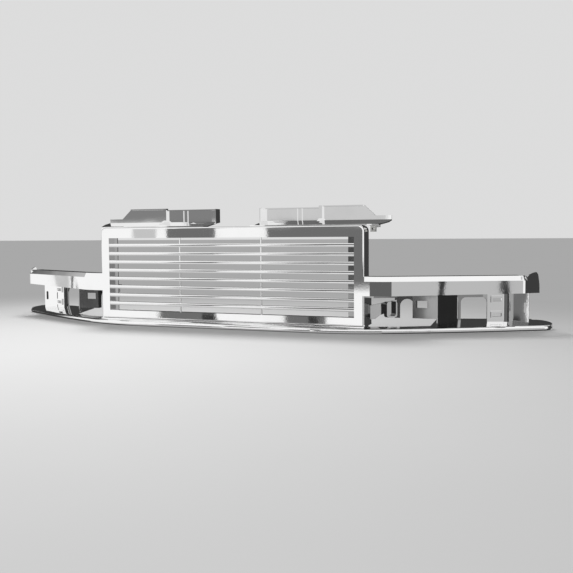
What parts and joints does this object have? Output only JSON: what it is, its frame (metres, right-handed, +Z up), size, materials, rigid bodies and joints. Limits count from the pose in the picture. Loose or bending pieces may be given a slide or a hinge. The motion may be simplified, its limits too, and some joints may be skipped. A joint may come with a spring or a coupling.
{
  "type": "front grille",
  "caption": "Chrome pickup front grille: slatted centre surround, swept wing bars over open lamp carriers, full-width lower lip and two upper mounting brackets.",
  "frame": {"origin": "middle of the bounding box in X and Y, on the plane the lower lip stands on", "axes": "+X towards the grille's right end as seen from the front, +Y rearwards into the vehicle, +Z up; the slats face -Y"},
  "size_m": [1.6142, 0.297, 0.3205],
  "materials": {
    "face_chrome": "bright plated plastic",
    "slat_chrome": "bright plated plastic, softly crowned",
    "lip_chrome": "bright plated plastic",
    "inner_chrome": "plated plastic in shade, less polished",
    "spring_steel": "zinc-coated spring steel"
  },
  "bodies": {
    "root": {"surround_frame": "face_chrome", "slat_1": "slat_chrome", "slat_2": "slat_chrome", "slat_3": "slat_chrome", "slat_4": "slat_chrome", "slat_5": "slat_chrome", "slat_6": "slat_chrome", "slat_7": "slat_chrome", "slat_8": "slat_chrome", "support_rod_left": "slat_chrome", "support_rod_right": "slat_chrome", "slat_end_strip_left": "inner_chrome", "slat_end_strip_right": "inner_chrome", "wing_bar_left": "face_chrome", "wing_bar_right": "face_chrome", "lower_lip": "lip_chrome", "side_web_left": "inner_chrome", "side_web_right": "inner_chrome", "lamp_carrier_left": "inner_chrome", "lamp_carrier_right": "inner_chrome", "clip_plate_left": "inner_chrome", "clip_plate_right": "inner_chrome", "ladder_bracket_left": "face_chrome", "ladder_bracket_right": "face_chrome", "outer_panel_left": "face_chrome", "outer_panel_right": "face_chrome", "upper_bracket_left": "face_chrome", "upper_bracket_right": "face_chrome", "corner_clip_left": "spring_steel", "corner_clip_right": "spring_steel"}
  },
  "joints": []
}
